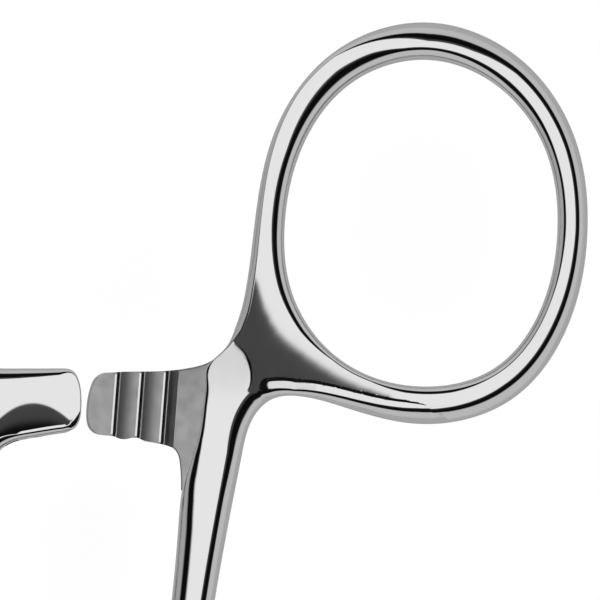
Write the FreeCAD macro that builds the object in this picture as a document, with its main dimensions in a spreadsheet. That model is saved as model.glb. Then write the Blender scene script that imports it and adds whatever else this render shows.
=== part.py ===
"""Ratchet-handled needle holder with suture scissors behind its jaws, 140 mm long.

Two steel forgings cross in a box lock and turn on one pin. The box half carries the
right-hand finger ring and is slotted at the lock. The through half carries the left-hand
ring and passes through that slot on a thin waist. Each half has a finger ring, a toothed
ratchet arm, a tapering shank, half of the lock, a scissor blade and a gripping jaw.

Both halves are drawn in the same working frame, with the jaws shut: the pin's axis is Z,
the ring lies towards +X +Y, the jaw towards -Y on the -X side, and Z = 0 is the middle of
the thickness. A placement then lifts each half on to the resting surface, turns it to
the slightly open rest position, and turns the through half over.
"""
import FreeCAD, Part
import Sketcher
import math
import os

from FreeCAD import Placement, Rotation, Vector

# Driving dimensions, in millimetres and degrees
SIZES = [
    # The box lock and its pin
    ("box_half_width", 4.1, "half of the lock's width across the instrument"),
    ("box_half_thickness", 2.4, "half of the lock's thickness, the thickest place"),
    ("box_radius", 5.6, "rounded ends of the slotted plates, about the pin"),
    ("shoulder_gap", 0.15, "gap between those ends and the through half's shoulders"),
    ("waist_half_thickness", 0.85, "half of the thickness that passes through the slot"),
    ("waist_half_width", 2.17, "half of the waist's width in plan"),
    ("slot_clearance", 0.04, "gap above and below the waist"),
    ("slot_side_gap", 0.1, "gap beside the waist with the jaws shut or fully open"),
    ("pin_radius", 1.25, "pin, pressed into the slotted plates"),
    ("pin_clearance", 0.03, "radial running clearance of the pin in the waist"),
    ("pin_chamfer", 0.12, "bevel round each end of the pin and each hole for it"),
    ("rest_angle", 4.0, "angle between the halves at rest, from the jaws shut"),
    ("open_angle", 44.0, "angle between the halves fully open, from the jaws shut"),
    # The shank: middle line and width at stations along Y
    ("crotch_y", 8.0, "where the two shanks part above the lock"),
    ("crotch_gap", 0.12, "half of the gap between the shut shanks there"),
    ("low_shank_y", 20.0, "lower station of the shank"),
    ("low_shank_x", 2.98, "middle of the shank there"),
    ("low_shank_width", 4.05, "width of the shank there"),
    ("mid_shank_y", 38.0, "middle station of the shank"),
    ("mid_shank_x", 4.6, "middle of the shank there"),
    ("mid_shank_width", 3.62, "width of the shank there"),
    ("top_shank_y", 58.8, "upper station of the shank, its narrowest place"),
    ("top_shank_x", 6.75, "middle of the shank there"),
    ("top_shank_width", 3.44, "width of the shank there"),
    ("shank_half_thickness", 1.95, "half of the shank's thickness beside the arm"),
    # The finger ring: hole radii every 30 degrees from +X, and the band round it
    ("ring_x", 24.0, "middle of the finger ring"),
    ("ring_y", 89.3, "middle of the finger ring"),
    ("hole_r000", 10.82, "radius of the finger hole towards +X"),
    ("hole_r030", 11.42, "radius of the finger hole at 30 degrees"),
    ("hole_r060", 12.50, "radius of the finger hole at 60 degrees"),
    ("hole_r090", 13.20, "radius of the finger hole towards +Y"),
    ("hole_r120", 12.62, "radius of the finger hole at 120 degrees"),
    ("hole_r150", 11.40, "radius of the finger hole at 150 degrees"),
    ("hole_r180", 10.98, "radius of the finger hole towards -X"),
    ("hole_r210", 11.76, "radius of the finger hole at 210 degrees"),
    ("hole_r240", 12.60, "radius of the finger hole at 240 degrees"),
    ("hole_r270", 12.92, "radius of the finger hole towards -Y"),
    ("hole_r300", 12.80, "radius of the finger hole at 300 degrees"),
    ("hole_r330", 11.48, "radius of the finger hole at 330 degrees"),
    ("band_side", 2.40, "width of the ring's band at its sides"),
    ("band_end", 3.00, "width of the ring's band at its far and near ends"),
    ("ring_half_thickness", 1.35, "half of the ring's thickness"),
    ("step_start", 41.9, "start of the slope down to the ring, along its own lean"),
    ("step_length", 3.1, "length of the slope from the shank down to the ring"),
    ("step_lean", 25.0, "direction of the slope from the X direction"),
    ("rim_radius", 0.95, "rounding of the long outer edges"),
    # The ratchet arm
    ("arm_reach", 2.36, "how far the shut arm reaches past the middle line"),
    ("arm_tip_height", 5.05, "height of the arm near its tip"),
    ("arm_y", 74.05, "middle of the arm's tip along Y"),
    ("arm_thickness", 1.55, "thickness of the arm"),
    ("arm_gap", 0.06, "depth of the tooth crests below the middle plane"),
    ("arm_edge_radius", 0.5, "rounding of the arm's outer edges"),
    ("tooth_pitch", 1.94, "spacing of the ratchet teeth"),
    ("tooth_depth", 0.38, "depth of the ratchet teeth"),
    ("first_tooth_x", -0.09, "steep face of the first tooth"),
    ("last_tooth_runout", 0.75, "length of the slope behind the last tooth"),
    ("tooth_slant", 2.3, "lean of the teeth from the Y direction"),
    # Jaws and scissor blades
    ("jaw_length", 35.4, "pin axis to the tip of the jaws"),
    ("jaw_tip_half_width", 1.6, "width of one jaw near its tip"),
    ("jaw_tip_half_thickness", 1.15, "half of the jaw's thickness at the tip"),
    ("jaw_gap", 0.03, "half of the gap between the shut gripping faces"),
    ("blade_end_y", 18.0, "pin axis to the front end of the scissor blade"),
    ("blade_reach", 0.9, "how far the shut blade reaches past the middle line"),
    ("blade_gap", 0.02, "distance of each blade's flat from the middle plane"),
    ("blade_edge", 0.12, "thickness left along the cutting edge"),
    ("blade_grind", 1.9, "width of the ground slope behind the cutting edge"),
    ("relief_side_gap", 0.25, "room beside the other half's blade"),
    ("serration_pitch", 1.0, "spacing of the grooves across the gripping face"),
    ("serration_depth", 0.22, "depth of those grooves"),
]
TEETH = 3
FAR = 130.0


def make_sheet(doc):
    """The spreadsheet of driving dimensions, one alias for each size."""
    sheet = doc.addObject("Spreadsheet::Sheet", "Sizes")
    for row, (alias, value, meaning) in enumerate(SIZES, start=1):
        sheet.set(f"A{row}", meaning)
        sheet.set(f"B{row}", str(value))
        sheet.setAlias(f"B{row}", alias)
    doc.recompute()
    return sheet


def origin_part(body, role):
    """One of the body's own origin planes or axes, such as XY_Plane."""
    return next(f for f in body.Origin.OriginFeatures if f.Role == role)


def new_sketch(body, name, role, offset=None):
    """An empty sketch on an origin plane of the body."""
    sketch = body.newObject("Sketcher::SketchObject", name)
    sketch.AttachmentSupport = [(origin_part(body, role), "")]
    sketch.MapMode = "FlatFace"
    if offset is not None:
        sketch.AttachmentOffset = offset
    return sketch


def straight(start, end):
    """A straight line between two points of a sketch."""
    return Part.LineSegment(Vector(*start, 0), Vector(*end, 0))


def add_loop(sketch, points):
    """Straight sides through the points, closed."""
    for start, end in zip(points, points[1:] + points[:1]):
        sketch.addGeometry(straight(start, end), False)


def smooth_run(points, start, end):
    """One smooth curve with the directions given at its ends, in short pieces."""
    curve = Part.BSplineCurve()
    placed = [Vector(x, y, 0) for x, y in points]
    curve.interpolate(
        Points=placed, InitialTangent=Vector(*start, 0), FinalTangent=Vector(*end, 0)
    )
    knots = curve.getKnots()
    pieces = []
    for first, last in zip(knots, knots[1:]):
        piece = curve.copy()
        piece.segment(first, last)
        pieces.append(piece)
    return pieces


def flat_list(pieces):
    """Curves in order; a pair of points is a straight line and a list is a run."""
    curves = []
    for piece in pieces:
        if isinstance(piece, tuple):
            curves.append(straight(*piece))
        elif isinstance(piece, list):
            curves.extend(flat_list(piece))
        else:
            curves.append(piece)
    return curves


def add_chain(sketch, pieces):
    """Curves and straight lines end to end."""
    for curve in flat_list(pieces):
        sketch.addGeometry(curve, False)


def arc_about(centre, radius, start, end):
    """The shorter arc about a centre between two directions, in radians."""
    x, y = centre
    through = [
        Vector(x + radius * math.cos(a), y + radius * math.sin(a), 0)
        for a in (start, (start + end) / 2, end)
    ]
    return Part.Arc(*through)


def pad(body, name, sketch, length):
    """A pad to both sides of its sketch; length is an expression."""
    feature = body.newObject("PartDesign::Pad", name)
    feature.Profile = sketch
    feature.SideType = "Symmetric"
    feature.setExpression("Length", length)
    return feature


def cut_both_ways(body, name, sketch, length):
    """A pocket to both sides of its sketch; length is an expression."""
    feature = body.newObject("PartDesign::Pocket", name)
    feature.Profile = sketch
    feature.SideType = "Symmetric"
    feature.setExpression("Length", length)
    return feature


def cut_one_way(body, name, sketch, length, down):
    """A pocket to one side of its sketch, down or up from it."""
    feature = body.newObject("PartDesign::Pocket", name)
    feature.Profile = sketch
    feature.SideType = "One side"
    feature.Reversed = not down
    feature.setExpression("Length", length)
    return feature


def on_curves(edge, curves, wanted):
    """Whether an edge lies over the plan curves, all of it at a wanted height."""
    first, last = edge.FirstParameter, edge.LastParameter
    for step in range(1, 6):
        point = edge.valueAt(first + (last - first) * step / 6)
        if not wanted(point.z):
            return False
        flat = Part.Vertex(Vector(point.x, point.y, 0))
        if min(curve.distToShape(flat)[0] for curve in curves) > 0.01:
            return False
    return True


def round_edges(body, name, base, curves, wanted, radius):
    """A fillet on the base feature's edges that lie over the given plan curves."""
    body.Document.recompute()
    curves = [curve.toShape() for curve in flat_list(curves)]
    names = [
        f"Edge{index}"
        for index, edge in enumerate(base.Shape.Edges, start=1)
        if on_curves(edge, curves, wanted)
    ]
    feature = body.newObject("PartDesign::Fillet", name)
    feature.Base = (base, names)
    feature.setExpression("Radius", radius)
    return feature


def hole_points(size):
    """Points round the finger hole, from +X and every 30 degrees."""
    points = []
    for angle in range(0, 360, 30):
        radius = size[f"hole_r{angle:03d}"]
        turn = math.radians(angle)
        points.append(
            Vector(
                size["ring_x"] + radius * math.cos(turn),
                size["ring_y"] + radius * math.sin(turn),
                0,
            )
        )
    return points


def band_points(size, angles):
    """Points round the outside of the ring's band at the given angles."""
    points = []
    for angle in angles:
        turn = math.radians(angle)
        swell = math.sin(turn) ** 2
        band = size["band_side"] + (size["band_end"] - size["band_side"]) * swell
        radius = size[f"hole_r{angle:03d}"] + band
        points.append(
            (
                size["ring_x"] + radius * math.cos(turn),
                size["ring_y"] + radius * math.sin(turn),
            )
        )
    return points


def handle_run(size):
    """The handle's outline: up the inner side, round the ring, down the outer side."""
    inner = [(size["crotch_gap"], size["crotch_y"])]
    outer = [(size["box_half_width"], size["crotch_y"])]
    for place in ("low", "mid", "top"):
        x, y = size[f"{place}_shank_x"], size[f"{place}_shank_y"]
        half = size[f"{place}_shank_width"] / 2
        inner.append((x - half, y))
        outer.append((x + half, y))
    in_x, in_y = inner[-1]
    out_x, out_y = outer[-1]
    # Behind the ratchet arm and out along the ring's near side
    flare = [
        (in_x + 0.40, in_y + 5.6),
        (in_x + 0.74, in_y + 11.2),
        (in_x + 1.50, in_y + 15.9),
        (in_x + 2.95, in_y + 19.3),
        (in_x + 4.22, in_y + 21.8),
        (in_x + 5.00, in_y + 24.8),
    ]
    ring = band_points(size, (180, 150, 120, 90, 60, 30, 0, 330, 300, 270))
    # The tight corner where the ring meets the outer side of the shank
    neck = [
        (out_x + 9.6, out_y + 15.75),
        (out_x + 6.6, out_y + 16.42),
        (out_x + 3.92, out_y + 16.1),
        (out_x + 2.55, out_y + 14.6),
        (out_x + 1.75, out_y + 11.6),
        (out_x + 1.17, out_y + 8.0),
    ]
    points = inner + flare + ring + neck + outer[::-1]
    return smooth_run(points, start=(0, 1), end=(0, -1))


def jaw_runs(size, lock_radius):
    """The rounded tip and the outer side of the jaw, from the tip up to the lock."""
    slim, wide = size["jaw_tip_half_width"], size["box_half_width"]
    radius = slim - size["jaw_gap"]
    round_y = -size["jaw_length"] + radius
    top_y = -math.sqrt(lock_radius**2 - wide**2)
    length, swell = top_y - round_y, wide - slim
    tip = arc_about((-size["jaw_gap"], round_y), radius, -math.pi / 2, -math.pi)
    side = smooth_run(
        [
            (-slim, round_y),
            (-slim - swell * 0.24, round_y + length * 0.22),
            (-slim - swell * 0.60, round_y + length * 0.50),
            (-slim - swell * 0.92, round_y + length * 0.80),
            (-wide, top_y),
        ],
        start=(0, 1),
        end=(0, 1),
    )
    return tip, side


def blade_and_face(size, heel):
    """The blade's edge from its heel, the blade's front end and the gripping face."""
    front = -size["blade_end_y"]
    edge_end = (size["blade_reach"], front)
    face_start = (-size["jaw_gap"], front)
    tip = (-size["jaw_gap"], -size["jaw_length"])
    return [(heel, edge_end), (edge_end, face_start), (face_start, tip)]


def box_outline(size):
    """Plan outline of the box half: the lock's plates have rounded ends."""
    wide, radius = size["box_half_width"], size["box_radius"]
    gap, reach = size["crotch_gap"], size["blade_reach"]
    side = math.acos(wide / radius)
    rise = radius * math.sin(side)
    top = math.acos(gap / radius)
    heel = -math.acos(reach / radius)
    high_point = (gap, radius * math.sin(top))
    tip, jaw_side = jaw_runs(size, radius)
    rims = [
        (high_point, (gap, size["crotch_y"])),
        handle_run(size),
        ((wide, size["crotch_y"]), (wide, -rise)),
    ]
    jaw_rims = [tip, jaw_side, ((-wide, -rise), (-wide, rise))]
    low_end = arc_about((0, 0), radius, -side, heel)
    high_end = arc_about((0, 0), radius, math.pi - side, top)
    face = blade_and_face(size, (reach, radius * math.sin(heel)))
    return rims + [low_end] + face + jaw_rims + [high_end], rims + jaw_rims


def add_blank(body, size, outline):
    """The plan outline, thicker than the lock, with the finger hole cut through."""
    sketch = new_sketch(body, "PlanOutline", "XY_Plane")
    add_chain(sketch, outline)
    pad(body, "Blank", sketch, "2.4 * Sizes.box_half_thickness")
    hole = new_sketch(body, "FingerHole", "XY_Plane")
    ring = Part.BSplineCurve()
    ring.interpolate(Points=hole_points(size), PeriodicFlag=True)
    hole.addGeometry(ring, False)
    cut_both_ways(body, "FingerHoleCut", hole, "4 * Sizes.box_half_thickness")
    return ring


def add_side_taper(body, size):
    """Both faces are flat at the lock and fall away towards the ring and the tip."""
    sketch = new_sketch(body, "SideTaper", "YZ_Plane")
    flat = size["box_radius"] + 0.4
    high, above = size["box_half_thickness"], size["box_half_thickness"] + 2
    shank, tip = size["shank_half_thickness"], size["jaw_tip_half_thickness"]
    fall, jaw_fall = high - shank, high - tip
    past_tip = size["jaw_length"] + 1
    run = past_tip - flat
    for side in (1, -1):
        shank_line = smooth_run(
            [
                (flat, side * high),
                (flat + 14, side * (high - fall * 0.36)),
                (flat + 32, side * (high - fall * 0.84)),
                (flat + 52, side * shank),
            ],
            start=(1, 0),
            end=(1, 0),
        )
        jaw_line = smooth_run(
            [
                (-past_tip, side * tip),
                (-flat - run * 0.6, side * (high - jaw_fall * 0.58)),
                (-flat - run * 0.25, side * (high - jaw_fall * 0.17)),
                (-flat, side * high),
            ],
            start=(1, side * 0.04),
            end=(1, 0),
        )
        add_chain(
            sketch,
            [
                jaw_line,
                ((-flat, side * high), (flat, side * high)),
                shank_line,
                ((flat + 52, side * shank), (FAR, side * shank)),
                ((FAR, side * shank), (FAR, side * above)),
                ((FAR, side * above), (-past_tip, side * above)),
                ((-past_tip, side * above), (-past_tip, side * tip)),
            ],
        )
    return cut_both_ways(body, "SideTaperCut", sketch, "8 * Sizes.ring_y")


def add_ring_step(body, size):
    """The slope from the thick shank down to the thinner ring, seen from one side."""
    lean = size["step_lean"]
    turned = Placement(Vector(0, 0, 0), Rotation(Vector(0, 1, 0), lean))
    sketch = new_sketch(body, "RingStep", "XZ_Plane", turned)
    start = size["step_start"]
    end = start + size["step_length"]
    middle = (start + end) / 2
    shank, ring = size["shank_half_thickness"], size["ring_half_thickness"]
    drop, half = (shank - ring) / 2, size["step_length"] / 2
    radius = (half**2 + drop**2) / (2 * drop)
    above = size["box_half_thickness"] + 2
    swing = math.asin(half / radius)
    for side in (1, -1):
        upper = arc_about(
            (start, side * (shank - radius)),
            radius,
            side * math.pi / 2,
            side * (math.pi / 2 - swing),
        )
        lower = arc_about(
            (end, side * (ring + radius)),
            radius,
            -side * (math.pi / 2 + swing),
            -side * math.pi / 2,
        )
        add_chain(
            sketch,
            [
                ((start - 1, side * shank), (start, side * shank)),
                upper,
                lower,
                ((end, side * ring), (FAR, side * ring)),
                ((FAR, side * ring), (FAR, side * above)),
                ((FAR, side * above), (start - 1, side * above)),
                ((start - 1, side * above), (start - 1, side * shank)),
            ],
        )
    return cut_both_ways(body, "RingStepCut", sketch, "8 * Sizes.ring_y")


def add_forging(body, size):
    """Blank, tapered faces, the step down to the ring, and the rounded rims."""
    outline, rims = box_outline(size)
    ring = add_blank(body, size, outline)
    add_side_taper(body, size)
    stepped = add_ring_step(body, size)
    round_edges(
        body,
        "RoundedRims",
        stepped,
        rims + [ring],
        lambda z: abs(z) > 0.5,
        "Sizes.rim_radius",
    )


def arm_outline(size):
    """The ratchet arm's outline, open towards the shank it grows from."""
    reach, middle = -size["arm_reach"], size["arm_y"]
    half = size["arm_tip_height"] / 2
    top = smooth_run(
        [
            (8.3, middle + half + 2.05),
            (6.2, middle + half + 0.80),
            (3.4, middle + half + 0.28),
            (0.0, middle + half + 0.08),
        ],
        start=(-1, -0.65),
        end=(-1, -0.02),
    )
    corner = 1.0
    nose = [
        ((0.0, middle + half + 0.08), (reach + corner, middle + half)),
        arc_about(
            (reach + corner, middle + half - corner), corner, math.pi / 2, math.pi
        ),
        ((reach, middle + half - corner), (reach, middle - half + corner)),
        arc_about(
            (reach + corner, middle - half + corner), corner, math.pi, 1.5 * math.pi
        ),
        ((reach + corner, middle - half), (1.6, middle - half - 0.08)),
    ]
    low = smooth_run(
        [
            (1.6, middle - half - 0.08),
            (3.3, middle - half - 0.52),
            (4.6, middle - half - 1.35),
            (5.6, middle - half - 4.2),
        ],
        start=(1, -0.05),
        end=(0.1, -1),
    )
    inside = [
        ((5.6, middle - half - 4.2), (8.3, middle - half - 3.0)),
        ((8.3, middle - half - 3.0), (8.3, middle + half + 2.05)),
    ]
    return [top] + nose + [low], inside


def add_arm(body, size):
    """The ratchet arm, with the free edges of its inner face rounded."""
    raised = Placement(Vector(0, 0, 0.03 - size["arm_gap"]), Rotation())
    sketch = new_sketch(body, "ArmOutline", "XY_Plane", raised)
    edge, inside = arm_outline(size)
    add_chain(sketch, edge + inside)
    arm = body.newObject("PartDesign::Pad", "Arm")
    arm.Profile = sketch
    arm.Reversed = True
    arm.setExpression("Length", "Sizes.arm_thickness + 0.03")
    round_edges(
        body, "ArmRounding", arm, edge, lambda z: z > -0.2, "Sizes.arm_edge_radius"
    )


def add_teeth(body, size):
    """Saw teeth across the arm, steep towards their own shank, with a run-out."""
    crest, root = -size["arm_gap"], -size["arm_gap"] - size["tooth_depth"]
    pitch, first = size["tooth_pitch"], size["first_tooth_x"]
    lean = Rotation(Vector(0, 0, 1), -size["tooth_slant"])
    centre = Vector(0, size["arm_y"], 0)
    along = Placement(centre, lean).multiply(
        Placement(Vector(0, 0, 0), Rotation(Vector(1, 0, 0), 90))
    )
    flat = Placement(Vector(0, 0, 0), Rotation(Vector(1, 0, 0), 90))
    sketch = new_sketch(body, "TeethProfile", "XZ_Plane", flat.inverse().multiply(along))
    points = [(-size["arm_reach"] - 1.5, 1.0), (-size["arm_reach"] - 1.5, root)]
    points.append((first - pitch, root))
    for tooth in range(TEETH):
        x = first + tooth * pitch
        points += [(x - 0.05, crest), (x, crest), (x + 0.03, root)]
    last = points[-1]
    out = (last[0] + size["last_tooth_runout"], 1.0)
    lines = list(zip(points, points[1:]))
    runout = smooth_run(
        [
            last,
            (last[0] + size["last_tooth_runout"] * 0.6, root + 0.12),
            (last[0] + size["last_tooth_runout"], -size["arm_gap"] + 0.03),
        ],
        start=(1, 0),
        end=(0.6, 1),
    )
    top = (last[0] + size["last_tooth_runout"], -size["arm_gap"] + 0.03)
    add_chain(sketch, lines + [runout, (top, out), (out, points[0])])
    return cut_both_ways(body, "TeethCut", sketch, "1.6 * Sizes.arm_tip_height")


def add_blade(body, size):
    """The half thickness left for the other half's blade, and the ground slope."""
    side = -size["blade_reach"] - size["relief_side_gap"]
    radius = size["box_radius"] + size["shoulder_gap"] / 3
    end = -size["blade_end_y"] - size["relief_side_gap"]
    start_angle = -math.acos(side / radius)
    end_angle = -math.acos(2.0 / radius)
    raised = Placement(Vector(0, 0, size["blade_gap"]), Rotation())
    sketch = new_sketch(body, "BladeRelief", "XY_Plane", raised)
    start = (side, radius * math.sin(start_angle))
    finish = (2.0, radius * math.sin(end_angle))
    add_chain(
        sketch,
        [
            arc_about((0, 0), radius, start_angle, end_angle),
            (finish, (2.0, end)),
            ((2.0, end), (side, end)),
            ((side, end), start),
        ],
    )
    cut_one_way(body, "BladeReliefCut", sketch, "2 * Sizes.box_half_thickness", True)
    edge = size["blade_reach"]
    base = size["blade_gap"] + size["blade_edge"]
    high = size["box_half_thickness"] + 0.2
    behind = Placement(Vector(0, 0, size["box_radius"] + 1.4), Rotation())
    grind = new_sketch(body, "BladeGrind", "XZ_Plane", behind)
    add_loop(
        grind,
        [
            (edge + 0.02, base),
            (edge + 1.5, base),
            (edge + 1.5, high),
            (edge - size["blade_grind"], high),
        ],
    )
    feature = body.newObject("PartDesign::Pocket", "BladeGrindCut")
    feature.Profile = grind
    feature.SideType = "One side"
    feature.Reversed = True
    feature.setExpression(
        "Length", "Sizes.blade_end_y - Sizes.box_radius - 1.4"
    )
    return feature


def add_serrations(body, size):
    """Grooves across the gripping face, all along it."""
    face, pitch = -size["jaw_gap"], size["serration_pitch"]
    first = -size["blade_end_y"] - 0.9
    sketch = new_sketch(body, "Serration", "XY_Plane")
    depth, half = size["serration_depth"], pitch * 0.36
    add_loop(
        sketch,
        [
            (face + 0.3, first + half),
            (face, first + half),
            (face - depth, first),
            (face, first - half),
            (face + 0.3, first - half),
        ],
    )
    cut = cut_both_ways(body, "SerrationCut", sketch, "3 * Sizes.box_half_thickness")
    pattern = body.newObject("PartDesign::LinearPattern", "Serrations")
    pattern.Originals = [cut]
    pattern.Direction = (origin_part(body, "Y_Axis"), [""])
    pattern.Reversed = True
    pattern.Mode = "Spacing"
    count = int((size["jaw_length"] - size["blade_end_y"] - 1.6) / pitch) + 1
    pattern.Occurrences = count
    pattern.setExpression("Offset", "Sizes.serration_pitch")
    body.Tip = pattern
    return pattern


def add_pin_hole(body, size, radius):
    """The hole for the pin; radius is an expression."""
    sketch = new_sketch(body, "PinHole", "XY_Plane")
    circle = Part.Circle(Vector(0, 0, 0), Vector(0, 0, 1), size["pin_radius"])
    index = sketch.addGeometry(circle, False)
    sketch.addConstraint(Sketcher.Constraint("Radius", index, size["pin_radius"]))
    sketch.setExpression("Constraints[0]", radius)
    return cut_both_ways(body, "PinHoleCut", sketch, "4 * Sizes.box_half_thickness")


def add_slot(body, size):
    """The slot that the other half's waist turns in, open to both sides of the lock."""
    half = size["waist_half_width"] + size["slot_side_gap"]
    radius = size["box_radius"] + size["shoulder_gap"]
    reach = math.sqrt(radius**2 - half**2)
    across, up = waist_run(size)
    shut = math.pi / 2 + math.atan2(across, up)
    sketch = new_sketch(body, "Slot", "XY_Plane")
    spread = math.radians(size["open_angle"])
    corner = half / math.cos(spread / 2)
    middle = shut + spread / 2
    inset = math.asin(half / radius)
    loop = []
    for turn in (0, math.pi):
        side = middle - math.pi / 2 + turn
        near = (corner * math.cos(side), corner * math.sin(side))
        opposite = (-near[0], -near[1])
        first, last = shut + turn - inset, shut + spread + turn + inset
        start = (radius * math.cos(first), radius * math.sin(first))
        finish = (radius * math.cos(last), radius * math.sin(last))
        loop += [
            (near, start),
            arc_about((0, 0), radius, first, last),
            (finish, opposite),
        ]
    add_chain(sketch, loop)
    return cut_both_ways(
        body, "SlotCut", sketch, "2 * (Sizes.waist_half_thickness + Sizes.slot_clearance)"
    )


def add_waist(body, size):
    """The thin waist left round the pin, between two hollow shoulders."""
    radius = size["box_radius"] + size["shoulder_gap"]
    for name, side in (("UpperFace", 1), ("LowerFace", -1)):
        raised = Placement(Vector(0, 0, side * size["waist_half_thickness"]), Rotation())
        sketch = new_sketch(body, name, "XY_Plane", raised)
        circle = Part.Circle(Vector(0, 0, 0), Vector(0, 0, 1), radius)
        sketch.addGeometry(circle, False)
        cut_one_way(
            body, name + "Cut", sketch, "2 * Sizes.box_half_thickness", side < 0
        )
    across, up = waist_run(size)
    along = math.atan2(up, across)
    inset = math.asin(size["waist_half_width"] / radius)
    sketch = new_sketch(body, "WaistSides", "XY_Plane")
    for turn in (0, math.pi):
        first = along - inset + turn
        last = along + inset - math.pi + turn
        start = (radius * math.cos(first), radius * math.sin(first))
        finish = (radius * math.cos(last), radius * math.sin(last))
        add_chain(sketch, [arc_about((0, 0), radius, first, last), (finish, start)])
    return cut_both_ways(body, "WaistSidesCut", sketch, "4 * Sizes.box_half_thickness")


def waist_run(size):
    """Direction of the through half's waist in plan, as a run across and a run up."""
    radius = size["box_radius"] + size["shoulder_gap"]
    rise = math.sqrt(radius**2 - size["box_half_width"] ** 2)
    low = math.sqrt(radius**2 - size["crotch_gap"] ** 2)
    return size["box_half_width"] + size["crotch_gap"], rise + low


def add_working_parts(body, size):
    """The arm, its teeth, the blade and the gripping face, the same on both halves."""
    add_arm(body, size)
    add_teeth(body, size)
    add_blade(body, size)
    add_serrations(body, size)


def make_box_half(doc, size):
    """Right-hand ring, slotted lock."""
    body = doc.addObject("PartDesign::Body", "BoxHalf")
    body.Label = "box_half"
    add_forging(body, size)
    add_slot(body, size)
    add_pin_hole(body, size, "Sizes.pin_radius")
    add_working_parts(body, size)
    turn = Rotation(Vector(0, 0, 1), -size["rest_angle"] / 2)
    body.Placement = Placement(Vector(0, 0, size["box_half_thickness"]), turn)
    return body


def make_through_half(doc, size):
    """Left-hand ring, thin waist; drawn the same way up and then turned over."""
    body = doc.addObject("PartDesign::Body", "ThroughHalf")
    body.Label = "through_half"
    add_forging(body, size)
    add_waist(body, size)
    add_pin_hole(body, size, "Sizes.pin_radius + Sizes.pin_clearance")
    add_working_parts(body, size)
    turn = Rotation(Vector(0, 0, 1), size["rest_angle"] / 2)
    over = turn.multiply(Rotation(Vector(0, 1, 0), 180))
    body.Placement = Placement(Vector(0, 0, size["box_half_thickness"]), over)
    return body


def make_pin(doc, size):
    """The pin, as long as the lock is thick, with a small bevel round each end."""
    body = doc.addObject("PartDesign::Body", "PivotPin")
    body.Label = "pivot_pin"
    sketch = new_sketch(body, "PinSection", "XY_Plane")
    circle = Part.Circle(Vector(0, 0, 0), Vector(0, 0, 1), size["pin_radius"])
    index = sketch.addGeometry(circle, False)
    sketch.addConstraint(Sketcher.Constraint("Radius", index, size["pin_radius"]))
    sketch.setExpression("Constraints[0]", "Sizes.pin_radius")
    shaft = pad(body, "Shaft", sketch, "2 * Sizes.box_half_thickness")
    doc.recompute()
    ends = [
        f"Edge{index}"
        for index, edge in enumerate(shaft.Shape.Edges, start=1)
        if len(edge.Vertexes) == 1
    ]
    bevel = body.newObject("PartDesign::Chamfer", "EndBevels")
    bevel.Base = (shaft, ends)
    bevel.setExpression("Size", "Sizes.pin_chamfer")
    body.Placement = Placement(Vector(0, 0, size["box_half_thickness"]), Rotation())
    return body


def check(doc, bodies):
    """Stop if any feature failed or any finished shape is not one valid solid."""
    for item in doc.Objects:
        if "Invalid" in item.State or "Error" in item.State:
            raise RuntimeError(f"{item.Name} did not build")
    for body in bodies:
        if not body.Shape.isValid() or len(body.Shape.Solids) != 1:
            raise RuntimeError(f"{body.Label} is not one valid solid")


doc = FreeCAD.newDocument("NeedleHolderScissors")
sheet = make_sheet(doc)
size = {alias: float(sheet.get(alias)) for alias, _, _ in SIZES}
bodies = [make_box_half(doc, size), make_through_half(doc, size), make_pin(doc, size)]
doc.recompute()
check(doc, bodies)
os.makedirs("parts", exist_ok=True)
for body in bodies:
    body.Shape.exportStep(f"parts/{body.Label}.step")
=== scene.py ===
"""Looks for the ring-handled needle holder with suture scissors behind its jaws."""
import bmesh
import bpy
import math
import numpy as np
from mathutils import Matrix, Vector
from mathutils.geometry import delaunay_2d_cdt


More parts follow.
